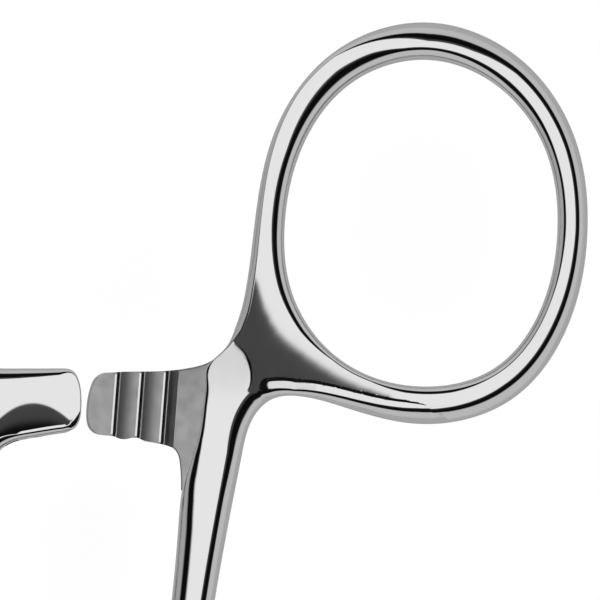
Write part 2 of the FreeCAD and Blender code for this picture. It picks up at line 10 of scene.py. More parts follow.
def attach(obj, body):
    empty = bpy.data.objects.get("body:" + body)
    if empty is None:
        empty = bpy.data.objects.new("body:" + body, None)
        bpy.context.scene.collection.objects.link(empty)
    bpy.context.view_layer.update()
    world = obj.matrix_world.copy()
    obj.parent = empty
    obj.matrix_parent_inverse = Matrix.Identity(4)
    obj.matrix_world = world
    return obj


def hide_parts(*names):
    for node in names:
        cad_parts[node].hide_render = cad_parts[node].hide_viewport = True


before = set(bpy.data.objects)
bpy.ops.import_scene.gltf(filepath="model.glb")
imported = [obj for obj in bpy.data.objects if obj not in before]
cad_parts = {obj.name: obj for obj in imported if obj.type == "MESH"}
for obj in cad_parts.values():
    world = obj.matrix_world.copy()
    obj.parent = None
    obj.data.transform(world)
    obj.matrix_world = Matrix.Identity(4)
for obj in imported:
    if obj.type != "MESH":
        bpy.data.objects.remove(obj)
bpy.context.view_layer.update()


# Right-hand handle: the shank, web and finger ring of the box half, drop forged in one
# from stainless steel, ground and polished bright. Its outline is drawn in plan, in
# millimetres with the jaws shut, and the bevelled rims follow it.
def steel(name, colour, roughness, ripple):
    """Stainless steel with a fine grain and the faint ripple that hand polishing leaves."""
    material = bpy.data.materials.new(name)
    material.use_nodes = True
    nodes, links = material.node_tree.nodes, material.node_tree.links
    surface = nodes["Principled BSDF"]
    surface.inputs["Base Color"].default_value = colour
    surface.inputs["Metallic"].default_value = 1.0
    place = nodes.new("ShaderNodeTexCoord")
    grain = nodes.new("ShaderNodeTexNoise")
    grain.inputs["Scale"].default_value = 900.0
    grain.inputs["Detail"].default_value = 3.0
    links.new(place.outputs["Object"], grain.inputs["Vector"])
    spread = nodes.new("ShaderNodeMapRange")
    spread.inputs["To Min"].default_value = roughness * 0.8
    spread.inputs["To Max"].default_value = roughness * 1.25
    links.new(grain.outputs["Fac"], spread.inputs["Value"])
    links.new(spread.outputs["Result"], surface.inputs["Roughness"])
    wave = nodes.new("ShaderNodeTexNoise")
    wave.inputs["Scale"].default_value = 160.0
    wave.inputs["Detail"].default_value = 1.0
    links.new(place.outputs["Object"], wave.inputs["Vector"])
    bump = nodes.new("ShaderNodeBump")
    bump.inputs["Strength"].default_value = ripple
    bump.inputs["Distance"].default_value = 0.00002
    links.new(wave.outputs["Fac"], bump.inputs["Height"])
    links.new(bump.outputs["Normal"], surface.inputs["Normal"])
    return material


polished = steel("polished_steel", (0.78, 0.78, 0.785, 1), 0.09, 0.15)


def smooth_line(knots, spacing, ends=None):
    """Even points and directions on a curve through the knots, closed without ends."""
    knots = np.array(knots, float)
    if ends is None:
        knots = np.vstack([knots[-3:], knots, knots[:4]])
    span = np.linalg.norm(np.diff(knots, axis=0), axis=1)
    at = np.concatenate([[0], np.cumsum(span)])
    count = len(knots)
    system = np.zeros((count, count))
    right = np.zeros((count, 2))
    system[0, 0] = system[-1, -1] = 1
    if ends is None:
        right[0] = (knots[1] - knots[0]) / span[0]
        right[-1] = (knots[-1] - knots[-2]) / span[-1]
    else:
        right[0], right[-1] = ends
    for i in range(1, count - 1):
        before, after = span[i - 1], span[i]
        system[i, i - 1 : i + 2] = after, 2 * (before + after), before
        right[i] = 3 * (
            after * (knots[i] - knots[i - 1]) / before
            + before * (knots[i + 1] - knots[i]) / after
        )
    slope = np.linalg.solve(system, right)
    first, last = (3, count - 4) if ends is None else (0, count - 1)
    samples = int(round((at[last] - at[first]) / spacing))
    where = np.linspace(at[first], at[last], samples + 1)
    if ends is None:
        where = where[:-1]
    piece = np.clip(np.searchsorted(at, where, side="right") - 1, 0, count - 2)
    h = span[piece][:, None]
    u = ((where - at[piece]) / span[piece])[:, None]
    p0, p1, m0, m1 = knots[piece], knots[piece + 1], slope[piece] * h, slope[piece + 1] * h
    points = (
        (2 * u**3 - 3 * u**2 + 1) * p0
        + (u**3 - 2 * u**2 + u) * m0
        + (3 * u**2 - 2 * u**3) * p1
        + (u**3 - u**2) * m1
    )
    along = (
        (6 * u**2 - 6 * u) * (p0 - p1) + (3 * u**2 - 4 * u + 1) * m0 + (3 * u**2 - 2 * u) * m1
    )
    along /= np.linalg.norm(along, axis=1)[:, None]
    return points, along


# Middle of the finger hole, and its radius every 30 degrees from the right
ring_middle = np.array([24.0, 89.3])
hole_radii = [10.82, 11.42, 12.50, 13.20, 12.62, 11.40, 10.98, 11.76, 12.60, 12.92, 12.80, 11.48]


def round_ring(angle, extra):
    """Point at an angle round the ring, outside the finger hole by the extra."""
    radius = hole_radii[angle // 30] + extra
    turn = math.radians(angle)
    return tuple(ring_middle + radius * np.array([math.cos(turn), math.sin(turn)]))


# Outline from the lock up the arm's side, round the ring and back down the outer side:
# each place in plan, then the widths of the bevel and of the roll inside it
rim_places = [
    (0.12, 8.0, 0.6, 0.5), (0.955, 20.0, 0.6, 0.5), (2.79, 38.0, 0.55, 0.7),
    (5.03, 58.8, 0.5, 0.95), (5.34, 64.4, 0.52, 0.95), (5.45, 66.6, 0.45, 0.95),
    (5.62, 67.9, 0.36, 0.92), (5.95, 69.1, 0.2, 0.88), (6.34, 70.3, 0.07, 0.7),
    (6.7, 71.6, 0.05, 0.46), (6.92, 73.1, 0.05, 0.4), (7.05, 74.7, 0.05, 0.38),
    (7.12, 76.1, 0.05, 0.3), (7.14, 77.2, 0.05, 0.2), (7.62, 77.92, 0.05, 0.05),
    (8.46, 78.74, 0.06, 0.05), (8.96, 79.5, 0.14, 0.08), (9.32, 80.5, 0.46, 0.16),
    (9.76, 82.0, 0.52, 0.16), (10.06, 83.6, 0.5, 0.14),
]
ring_width, ring_swell = 2.4, 0.6
ring_rim = (
    (180, 0.46, 0.06), (150, 0.32, 0.04), (120, 0.32, 0.04), (90, 0.8, 0.8), (60, 0.72, 0.5),
    (30, 0.65, 0.42), (0, 0.62, 0.42), (330, 0.72, 0.52), (300, 0.86, 0.58), (270, 0.88, 0.46),
)
for angle, bevel, roll in ring_rim:
    swell = math.sin(math.radians(angle)) ** 2
    rim_places.append((*round_ring(angle, ring_width + ring_swell * swell), bevel, roll))
rim_places += [
    (18.07, 74.55, 0.6, 0.3), (15.07, 75.22, 0.4, 0.25), (12.39, 74.90, 0.52, 0.42),
    (11.02, 73.40, 0.52, 1.05), (10.22, 70.40, 0.58, 0.72), (9.64, 66.80, 0.68, 0.56),
    (8.47, 58.8, 0.6, 0.58), (6.41, 38.0, 0.55, 0.5), (5.005, 20.0, 0.6, 0.5), (4.1, 8.0, 0.6, 0.5),
]
# Bevel and roll widths round the finger hole, by angle
hole_rim = np.array([
    (0, 0.42, 0.36), (30, 0.42, 0.36), (60, 0.44, 0.52), (88, 0.72, 0.3), (98, 0.72, 0.36),
    (108, 0.66, 0.8), (120, 0.62, 1.0), (135, 0.6, 0.8), (152, 0.58, 0.56), (180, 0.5, 0.62),
    (208, 0.48, 0.5), (224, 0.45, 0.36), (238, 0.34, 0.1), (254, 0.3, 0.1), (266, 0.32, 0.3),
    (282, 0.36, 0.3), (296, 0.42, 0.1), (330, 0.44, 0.1), (348, 0.42, 0.26), (360, 0.42, 0.36),
])

# Lean of the rim's surface: a steep edge and a bevel, then a roll to the level face
bevel_rows = np.array([0, 0.02, 0.06, 0.15, 0.4, 0.7, 0.9])
bevel_lean = np.radians([90, 70, 58, 52, 47, 43, 41])
roll_rows = np.array([0, 0.12, 0.25, 0.38, 0.5, 0.62, 0.74, 0.86, 1.0])
roll_lean = np.radians([39, 35, 30, 25, 20, 15, 10, 5, 0])
steepest = 1.35


def fall_of(rows, lean):
    """How far the surface falls from each row to the end, for a width of 1."""
    fine = np.linspace(0, 1, 1001)
    slope = np.tan(np.minimum(np.interp(fine, rows, lean), steepest)) * fine[1]
    return np.interp(rows, fine, slope.sum() - np.cumsum(slope))


bevel_fall, roll_fall = fall_of(bevel_rows, bevel_lean), fall_of(roll_rows, roll_lean)
roll_fall[-1] = 0.0
rim_lean = np.concatenate([bevel_lean, roll_lean])


def rim_row(row, bevel, roll):
    """Distance in from the edge and fall below the face of one row of the rim."""
    if row < len(bevel_rows):
        return bevel_rows[row] * bevel, bevel_fall[row] * bevel + roll_fall[0] * roll
    row -= len(bevel_rows)
    return bevel + roll_rows[row] * roll, roll_fall[row] * roll


# The rounded end of the shank's crown, where it drops to the web
crown_end = smooth_line(
    [(8.9, 79.6), (9.39, 79.29), (9.98, 78.74), (10.36, 78.11), (10.62, 77.4), (10.72, 76.7),
     (10.70, 76.15), (10.51, 75.64), (10.14, 75.0), (9.93, 74.45), (9.8, 73.9), (9.48, 72.37)],
    0.05, [(0.9, -0.4), (-0.1, -1)],
)[0]


def nearest(points, line):
    """Distance to a dense line, and which of its points is the nearest."""
    gap = np.full(len(points), 1e9)
    which = np.zeros(len(points), int)
    for start in range(0, len(line), 64):
        block = line[start : start + 64]
        away = np.linalg.norm(points[:, None] - block[None], axis=2)
        low = away.argmin(axis=1)
        value = away[np.arange(len(points)), low]
        better = value < gap
        gap[better], which[better] = value[better], low[better] + start
    return gap, which


def smooth_step(value, start, end):
    u = np.clip((value - start) / (end - start), 0, 1)
    return u * u * (3 - 2 * u)


outline, outline_way = smooth_line([p[:2] for p in rim_places], 0.22, [(0, 1), (0, -1)])
hole, hole_way = smooth_line([round_ring(a, 0) for a in range(0, 360, 30)], 0.22)
start_y = 12.0
keep = outline[:, 1] > start_y
outline, outline_way = outline[keep], outline_way[keep]
outline[0, 1] = outline[-1, 1] = start_y
outline_way[0], outline_way[-1] = (0, 1), (0, -1)


def widths_along(line, places, period=None):
    """Widths at each point of a line, from those at the given places beside it."""
    places = np.array(places)
    found = np.array([int(np.linalg.norm(line - p[:2], axis=1).argmin()) for p in places])
    order = np.argsort(found, kind="stable")
    at = np.arange(len(line))
    return [np.interp(at, found[order], width, period=period) for width in places[order, 2:].T]


# Places between those of the outline, where only the widths change
more_places = [
    (13.6, 99.7, 0.22, 0.04), (19.9, 104.6, 0.62, 0.3), (28.3, 105.0, 0.8, 0.78),
    (13.3, 75.13, 0.42, 0.28), (14.2, 75.25, 0.35, 0.22), (11.62, 74.25, 0.6, 1.05),
]
outline_bevel, outline_roll = widths_along(outline, rim_places + more_places)
outline_rim = outline_bevel + outline_roll
out = hole - ring_middle
hole_turn = np.degrees(np.arctan2(out[:, 1], out[:, 0])) % 360
hole_bevel = np.interp(hole_turn, hole_rim[:, 0], hole_rim[:, 1])
hole_roll = np.interp(hole_turn, hole_rim[:, 0], hole_rim[:, 2])

# Level ledge along the ring's near rim: half its width, the way in from the rim, and its
# middle line, drawn five times as dense as the outline
second_half = np.arange(len(outline)) > len(outline) // 2
on_ledge = (outline[:, 0] > 12.5) & (outline[:, 0] < 26.5) & second_half
denser = 5
ledge_half = np.interp(outline[on_ledge, 0], [12.4, 23.0, 26.5], [0.3, 0.2, 0.03])
ledge_way = np.stack([outline_way[:, 1], -outline_way[:, 0]], axis=1)[on_ledge]
ledge_middle = outline[on_ledge] + (outline_rim[on_ledge] + ledge_half)[:, None] * ledge_way
coarse = np.arange(len(ledge_half))
fine = np.linspace(0, coarse[-1], denser * coarse[-1] + 1)
ledge_half = np.interp(fine, coarse, ledge_half)
ledge_way = np.stack([np.interp(fine, coarse, ledge_way[:, k]) for k in (0, 1)], axis=1)
ledge_middle = np.stack([np.interp(fine, coarse, ledge_middle[:, k]) for k in (0, 1)], axis=1)


def soft_ramp(value, width):
    """Zero, then rising one for one, with a soft turn of the given width between."""
    return (np.sqrt(value**2 + width**2) + value) / 2


# Height of the ring's level face, slopes of the web and of the short walls round the
# ledge and the crown's end, how softly a wall turns, and the crown's rise and dip
ring_level, web_slope, wall_slope, wall_turn = 1.3, 0.135, 0.6, 0.03
crown_rise, crown_dip = 0.18, 0.066


def top_height(points):
    """Height of the handle's upper face above its middle plane, without the rims."""
    x, y = points[:, 0], points[:, 1]
    crown = np.interp(
        y,
        [6, 12, 20, 29, 38, 48, 58, 200],
        [2.4, 2.345, 2.238, 2.13, 2.022, 1.97, 1.95, 1.95],
    )
    dip = soft_ramp(np.minimum(y, 80.5) - 74.4, 0.8)
    crown = crown + crown_rise * smooth_step(y, 56, 72) - crown_dip * dip
    out = points - ring_middle
    angle = np.degrees(np.arctan2(out[:, 1], out[:, 0])) % 360
    hole_at = np.interp(angle, np.arange(0, 361, 30), hole_radii + hole_radii[:1])
    band = np.interp(
        angle,
        [0, 192, 197, 201, 206, 210, 214, 218, 222, 226, 230, 235, 240, 255, 260, 266, 360],
        [
            3.2, 3.2, 2.6, 2.36, 2.34, 2.34, 2.24, 2.06, 1.82, 1.56, 1.31, 1.07, 0.9, 0.82, 0.95,
            1.55, 3.2,
        ],
    )
    soft = np.interp(angle, [0, 195, 210, 250, 264, 360], [0.5, 0.5, 1.0, 1.0, 0.5, 0.5])
    past = np.linalg.norm(out, axis=1) - hole_at - band
    web = ring_level + web_slope * soft_ramp(past, soft)
    gap, which = nearest(points, ledge_middle)
    from_middle, way = points - ledge_middle[which], ledge_way[which]
    across = (from_middle * way).sum(axis=1)
    along = np.abs(from_middle[:, 0] * way[:, 1] - from_middle[:, 1] * way[:, 0])
    gap = np.where(across < 0, along, gap)
    ledge = np.interp(x, [12, 16, 20, 23, 24.2, 25.4], [1.6, 1.39, 1.27, 1.21, 1.26, 1.37])
    web = np.minimum(web, ledge + wall_slope * soft_ramp(gap - ledge_half[which], wall_turn))
    gap, which = nearest(points, crown_end)
    way = crown_end[np.minimum(which + 1, len(crown_end) - 1)] - crown_end[np.maximum(which - 1, 0)]
    side = way[:, 0] * (y - crown_end[which, 1]) - way[:, 1] * (x - crown_end[which, 0])
    beyond = np.where(side > 0, gap, -gap)
    low_side = (y < 72.4) | ((x < 9.2) & (y < 79.3))
    beyond = np.where(low_side, -1.0, beyond)
    edge = crown - wall_slope * soft_ramp(beyond, wall_turn)
    return np.where(low_side, crown, np.maximum(np.minimum(web, crown), np.minimum(edge, crown)))


def slope_of(height_of, points, step):
    """Rise of a surface to the right and away from the lock, over a short step."""
    dx = height_of(points + [step, 0]) - height_of(points - [step, 0])
    dy = height_of(points + [0, step]) - height_of(points - [0, step])
    return np.stack([dx, dy], axis=1) / (2 * step)


def inside_loop(points, loop):
    """Which points a closed line goes round."""
    a, b = loop, np.roll(loop, -1, axis=0)
    crosses = (a[None, :, 1] > points[:, None, 1]) != (b[None, :, 1] > points[:, None, 1])
    run = (b[:, 0] - a[:, 0]) / np.where(b[:, 1] == a[:, 1], 1e-12, b[:, 1] - a[:, 1])
    x = a[None, :, 0] + run[None] * (points[:, None, 1] - a[None, :, 1])
    return (crosses & (points[:, None, 0] < x)).sum(axis=1) % 2 == 1


def inside_region(points):
    """Which points lie between the outline's and the hole's inner rim lines."""
    return inside_loop(points, outline_inner) ^ inside_loop(points, hole_inner)


def spot_grid(left, right, low, high, pitch):
    """Staggered rows of spots over a patch."""
    xs, ys = np.meshgrid(np.arange(left, right, pitch), np.arange(low, high, pitch))
    xs = xs + (np.arange(len(ys)) % 2)[:, None] * pitch / 2
    return np.stack([xs.ravel(), ys.ravel()], axis=1)


# Strips of the rims, from each edge in to the line where the face starts
rows = len(rim_lean)
strips = []
for line, way, bevel, roll in (
    (outline, outline_way, outline_bevel, outline_roll),
    (hole, hole_way, hole_bevel, hole_roll),
):
    inward = np.stack([way[:, 1], -way[:, 0]], axis=1)
    inset, drop = zip(*(rim_row(row, bevel, roll) for row in range(rows)))
    places = line[None] + np.array(inset)[:, :, None] * inward[None]
    if len(strips) == 0:
        places[:, 0, 1] = places[:, -1, 1] = start_y
    strips.append((places, inward, np.array(drop)))
outline_inner, hole_inner = strips[0][0][-1], strips[1][0][-1]

# Patches of spots that carry the face: left, right, low, high and pitch. They are closer
# in the web, and rows of spots follow the walls of the ledge and of the crown's end.
patches = (
    (0, 12, 12.3, 70, 0.6), (5, 12, 70, 74.2, 0.3), (6, 28, 74.2, 84, 0.16),
    (9.9, 13.6, 74.0, 77.3, 0.07), (8, 42, 84, 107, 0.35), (12, 36, 70, 74.2, 0.3),
    (28, 42, 74.2, 84, 0.35),
)
spots = np.vstack([spot_grid(*patch) for patch in patches])
spots = spots[inside_region(spots)]
ledge_rows = (-0.05, 0.0, 0.06, 0.12, 0.18, 0.24, 0.3, 0.35, 0.4, 0.45, 0.5)
crown_rows = (-0.05, 0.0, 0.05, 0.1, 0.16, 0.22)
wall_lines = []
for offset in ledge_rows:
    line = (ledge_middle + (ledge_half + offset)[:, None] * ledge_way)[::denser]
    wall_lines.append(line[inside_region(line)])
for offset in ledge_rows:
    turns = np.arange(0, math.pi, 0.25)
    ring = (ledge_half[-1] + offset) * np.stack([np.cos(turns), np.sin(turns)], axis=1)
    ring = np.vstack([ledge_middle[-1] + ring, ledge_middle[-1] - ring])
    ring = ring[(ring - ledge_middle[-1]) @ (ledge_middle[-1] - ledge_middle[-2]) > 0]
    wall_lines.append(ring[inside_region(ring)])
for line in [outline_inner, hole_inner, crown_end] + wall_lines:
    spots = spots[nearest(spots, line)[0] > 0.1]
for offset in crown_rows:
    way = np.gradient(crown_end, axis=0)
    way /= np.linalg.norm(way, axis=1)[:, None]
    line = (crown_end + offset * np.stack([-way[:, 1], way[:, 0]], axis=1))[::3]
    line = line[inside_region(line)]
    wall_lines.append(line[nearest(line, outline_inner)[0] > 0.06])
spots = np.vstack([spots] + wall_lines)

# The face as a sheet of triangles between the two inner rim lines
count_out, count_hole = len(outline_inner), len(hole_inner)
flat = np.vstack([outline_inner, hole_inner, spots])
edges = [(i, (i + 1) % count_out) for i in range(count_out)]
edges += [(count_out + i, count_out + (i + 1) % count_hole) for i in range(count_hole)]
made = delaunay_2d_cdt([Vector(p) for p in flat], edges, [], 0, 1e-6)
sheet = np.array([tuple(p) for p in made[0]])
source = [tags[0] if tags else -1 for tags in made[3]]
triangles = np.array([tri for tri in made[2] if len(tri) == 3])
triangles = triangles[inside_region(sheet[triangles].mean(axis=1))]

points, faces, face_normals = [], [], []
slope_step = 0.004


def add_points(plan, height):
    start = sum(len(p) for p in points)
    points.append(np.column_stack([plan, height]))
    return start


sheet_start = add_points(sheet, top_height(sheet))
inner_index = {source[i]: i for i in range(len(sheet)) if source[i] >= 0}
corner_plan = sheet[triangles]
middle = corner_plan.mean(axis=1, keepdims=True)
near_corners = (corner_plan + (middle - corner_plan) * 0.2).reshape(-1, 2)
tilt = slope_of(top_height, near_corners, slope_step).reshape(-1, 3, 2)
# A triangle across a crease is left flat, so that no light runs along the crease
flat_tilt = slope_of(top_height, middle[:, 0], slope_step)[:, None]
creased = np.linalg.norm(tilt - flat_tilt, axis=2).max(axis=1) > 0.3
tilt[creased] = flat_tilt[creased]
for tri, lean in zip(triangles, tilt):
    a, b, c = tri
    turn = np.cross(sheet[b] - sheet[a], sheet[c] - sheet[a])
    order = (0, 1, 2) if turn > 0 else (0, 2, 1)
    faces.append([int(tri[k]) + sheet_start for k in order])
    face_normals.append([(-lean[k][0], -lean[k][1], 1.0) for k in order])

# The rims beside it. Where the face slopes, they lean with it by a little only, so that
# the rim stays dark where it crosses a steep wall.
most_slope = 0.3
walls = []
for index, (places, inward, drop) in enumerate(strips):
    many = places.shape[1]
    closed = index == 1
    base = index * count_out
    heights, leans = [], []
    for row in range(rows):
        plan = places[row]
        heights.append(top_height(plan) - drop[row])
        slope = slope_of(top_height, plan, slope_step)
        steepness = np.maximum(np.linalg.norm(slope, axis=1), 1e-6)
        slope *= np.minimum(1, most_slope / steepness)[:, None]
        lean = rim_lean[row]
        sideways = -slope * math.cos(lean) - inward * math.sin(lean)
        leans.append(np.column_stack([sideways, np.full(many, math.cos(lean))]))
    starts = [add_points(places[row], heights[row]) for row in range(rows - 1)]

    def vertex(row, i):
        i %= many
        if row == rows - 1:
            return sheet_start + inner_index[base + i]
        return starts[row] + i

    for row in range(rows - 1):
        for i in range(many if closed else many - 1):
            j = (i + 1) % many
            corners = [(row, i), (row + 1, i), (row + 1, j), (row, j)]
            faces.append([vertex(r, k) for r, k in corners])
            face_normals.append([tuple(leans[r][k]) for r, k in corners])
    walls.append((starts[0], many, closed, inward))

# The underside mirrors the top, and upright walls close the edges
top = np.vstack(points)
half_count = len(top)
handle_points = np.vstack([top, top * [1, 1, -1]])
under = [[i + half_count for i in face][::-1] for face in faces]
under_normals = [[(x, y, -z) for x, y, z in face][::-1] for face in face_normals]
handle_faces, handle_normals = faces + under, face_normals + under_normals
for start, many, closed, inward in walls:
    for i in range(many if closed else many - 1):
        j = (i + 1) % many
        handle_faces.append([start + i, start + j, start + j + half_count, start + i + half_count])
        out_i, out_j = -inward[i], -inward[j]
        handle_normals.append([(*out_i, 0), (*out_j, 0), (*out_j, 0), (*out_i, 0)])

# Each half is turned 2 degrees open about the pin, and its middle is 2.4 mm up
half_open, middle_up = 2, 2.4


def placed(turned_over):
    """Where a half drawn with the jaws shut goes in the rest pose, in metres."""
    turn = Matrix.Rotation(math.radians(half_open if turned_over else -half_open), 4, "Z")
    over = Matrix.Rotation(math.pi if turned_over else 0, 4, "Y")
    return Matrix.Scale(0.001, 4) @ Matrix.Translation((0, 0, middle_up)) @ turn @ over


def new_piece(name, mesh):
    piece = bpy.data.objects.new(name, mesh)
    bpy.context.scene.collection.objects.link(piece)
    return piece


def handle_piece(name, turned_over):
    place = placed(turned_over)
    mesh = bpy.data.meshes.new(name)
    mesh.from_pydata([place @ Vector(p) for p in handle_points], [], handle_faces)
    rotation = place.to_3x3().normalized()
    wanted = [(rotation @ Vector(n)).normalized() for face in handle_normals for n in face]
    form = bmesh.new()
    form.from_mesh(mesh)
    rim = [e for e in form.edges if e.is_boundary]
    cap = bmesh.ops.holes_fill(form, edges=rim, sides=0)["faces"]
    flat_way = (rotation @ Vector((0, -1, 0))).normalized()
    bmesh.ops.recalc_face_normals(form, faces=cap)
    form.to_mesh(mesh)
    form.free()
    wanted += [flat_way] * (len(mesh.loops) - len(wanted))
    mesh.polygons.foreach_set("use_smooth", [True] * len(mesh.polygons))
    mesh.normals_split_custom_set(wanted)
    mesh.materials.append(polished)
    return new_piece(name, mesh)


right_handle = handle_piece("right_handle", False)
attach(right_handle, "box_side")
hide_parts("box_half")

# Left-hand handle: the same forging turned over, so that the two halves nest in the
# lock, polished in the same way. It is one with the through half.
left_handle = handle_piece("left_handle", True)
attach(left_handle, "through_side")
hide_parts("through_half")


# Box lock, blade and jaw of each half: the working end below the shank, in the same
# polished steel. One half is slotted, the other's waist passes through the slot, and
# the gripping grooves are milled across the jaws.
def working_end(name, node, turned_over):
    place = placed(turned_over)
    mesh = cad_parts[node].data.copy()
    mesh.name = name
    form = bmesh.new()
    form.from_mesh(mesh)
    bmesh.ops.remove_doubles(form, verts=form.verts, dist=2e-7)
    cut_at = place @ Vector((0, start_y, 0))
    cut_way = place.to_3x3().normalized() @ Vector((0, 1, 0))
    everything = form.verts[:] + form.edges[:] + form.faces[:]
    bmesh.ops.bisect_plane(
        form, geom=everything, plane_co=cut_at, plane_no=cut_way, clear_outer=True, dist=1e-8
    )
    bmesh.ops.holes_fill(form, edges=[e for e in form.edges if e.is_boundary], sides=0)
    form.to_mesh(mesh)
    form.free()
    mesh.materials.clear()
    mesh.materials.append(polished)
    mesh.polygons.foreach_set("use_smooth", [True] * len(mesh.polygons))
    mesh.set_sharp_from_angle(angle=math.radians(28))
    return new_piece(name, mesh)


box_lock_end = working_end("box_lock_and_jaw", "box_half", False)
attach(box_lock_end, "box_side")
through_lock_end = working_end("through_lock_and_jaw", "through_half", True)
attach(through_lock_end, "through_side")

# Lock pin: a plain round pin of the same steel, pressed into the slotted half, where
# the waist turns on it. Its ends are ground flush and polished with the lock.
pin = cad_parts["pivot_pin"]
pin.data.materials.clear()
pin.data.materials.append(polished)


# Ratchet arms, one forged on each shank: a smooth polished back and a face with three
# saw teeth. The teeth are cut with a shaped wheel and left satin, and only the worn
# crests shine.
satin = steel("satin_steel", (0.74, 0.74, 0.75, 1), 0.36, 0.3)


def arm_edge(far_side, tip, near_side):
    """The arm's outline in plan, from its root along the far side, round the tip and back."""
    far_side = smooth_line(far_side, 0.12, [(-1, -0.2), (-1, -0.04)])[0]
    tip = smooth_line(tip, 0.08, [(-1, -0.04), (1, -0.08)])[0]
    near_side = smooth_line(near_side, 0.12, [(1, -0.08), (0.02, -1)])[0]
    inside_shank = [(6.6, 67.2), (7.6, 69.0), (8.2, 74.0), (9.0, 77.0)]
    return np.vstack([far_side, tip[1:], near_side[1:], inside_shank])


right_edge = arm_edge(
    [
        (9.0, 78.5), (8.1, 78.22), (7.2, 77.68), (6.22, 77.33), (4.72, 77.02), (3.0, 76.84),
        (0.0, 76.68), (-0.9, 76.6),
    ],
    [
        (-0.9, 76.6), (-1.42, 76.43), (-1.83, 76.05), (-2.12, 75.35), (-2.31, 74.4),
        (-2.37, 73.5), (-2.3, 72.6), (-2.02, 71.98), (-1.5, 71.66), (-0.9, 71.58),
    ],
    [
        (-0.9, 71.58), (-0.14, 71.53), (0.3, 71.38), (0.83, 71.33), (1.45, 71.46),
        (1.85, 71.45), (2.3, 71.27), (2.9, 71.16), (3.64, 71.04), (4.29, 70.9), (4.78, 70.67),
        (5.11, 70.2), (5.285, 69.43), (5.38, 68.6), (5.43, 67.4),
    ],
)
left_edge = arm_edge(
    [
        (9.0, 78.5), (8.1, 78.22), (7.2, 77.68), (5.6, 77.3), (3.99, 77.12), (2.4, 77.06),
        (0.8, 77.0), (-0.8, 76.95),
    ],
    [
        (-0.8, 76.95), (-1.42, 76.9), (-1.76, 76.78), (-2.05, 76.5), (-2.25, 76.1),
        (-2.38, 75.6), (-2.45, 74.9), (-2.45, 74.2), (-2.41, 73.6), (-2.33, 73.05),
        (-2.14, 72.53), (-1.9, 72.2), (-1.45, 71.93), (-0.88, 71.77),
    ],
    [
        (-0.88, 71.77), (0.26, 71.64), (1.95, 71.41), (3.08, 71.18), (3.7, 70.9), (4.13, 70.6),
        (4.75, 70.0), (5.15, 69.3), (5.35, 68.5), (5.43, 67.4),
    ],
)
# Heights of the tooth crests, of the joint between face and back, and of the back
crest, joint_height, back = -0.06, -0.85, -1.61
# Widths of the back's bevel, roll and small level ledge at places round the outline
back_places = [
    (7.2, 77.68, 0.3, 0.6, 0.003), (4.0, 77.1, 0.32, 0.6, 0.003),
    (2.4, 77.0, 0.32, 0.52, 0.003), (0.8, 76.9, 0.3, 0.4, 0.003),
    (-0.8, 76.8, 0.27, 0.28, 0.003), (-1.4, 76.7, 0.2, 0.14, 0.003),
    (-2.1, 76.3, 0.05, 0.05, 0.003), (-2.44, 75.0, 0.03, 0.04, 0.003),
    (-2.4, 73.5, 0.03, 0.05, 0.003), (-2.3, 72.95, 0.04, 0.3, 0.003),
    (-2.0, 72.3, 0.05, 0.55, 0.003), (-1.65, 72.0, 0.12, 0.4, 0.003),
    (-1.4, 71.9, 0.28, 0.22, 0.003), (-1.3, 71.86, 0.32, 0.2, 0.15),
    (0.3, 71.6, 0.34, 0.19, 0.17), (2.4, 71.3, 0.36, 0.18, 0.15),
    (2.65, 71.27, 0.36, 0.2, 0.003), (3.7, 70.9, 0.4, 0.45, 0.003),
    (4.5, 70.3, 0.45, 0.4, 0.003), (5.4, 67.4, 0.4, 0.3, 0.003), (7.6, 69.0, 0.2, 0.1, 0.003),
    (9.0, 77.0, 0.2, 0.1, 0.003),
]


def arm_inward(line):
    ahead = np.roll(line, -1, axis=0) - np.roll(line, 1, axis=0)
    ahead /= np.linalg.norm(ahead, axis=1)[:, None]
    return np.stack([-ahead[:, 1], ahead[:, 0]], axis=1)


def arm_back_height(points):
    """Height of the arm's smooth back: level, then dipping towards its near side."""
    x, y = points[:, 0], points[:, 1]
    start = 74.3 - 0.168 * (x - 1.5) ** 2
    start = np.where(x < 0, np.maximum(start, 72.85), start)
    dip = soft_ramp(start - y, 0.3)
    return back + 0.145 * dip + 0.04 * soft_ramp(dip - 0.8, 0.1) ** 2


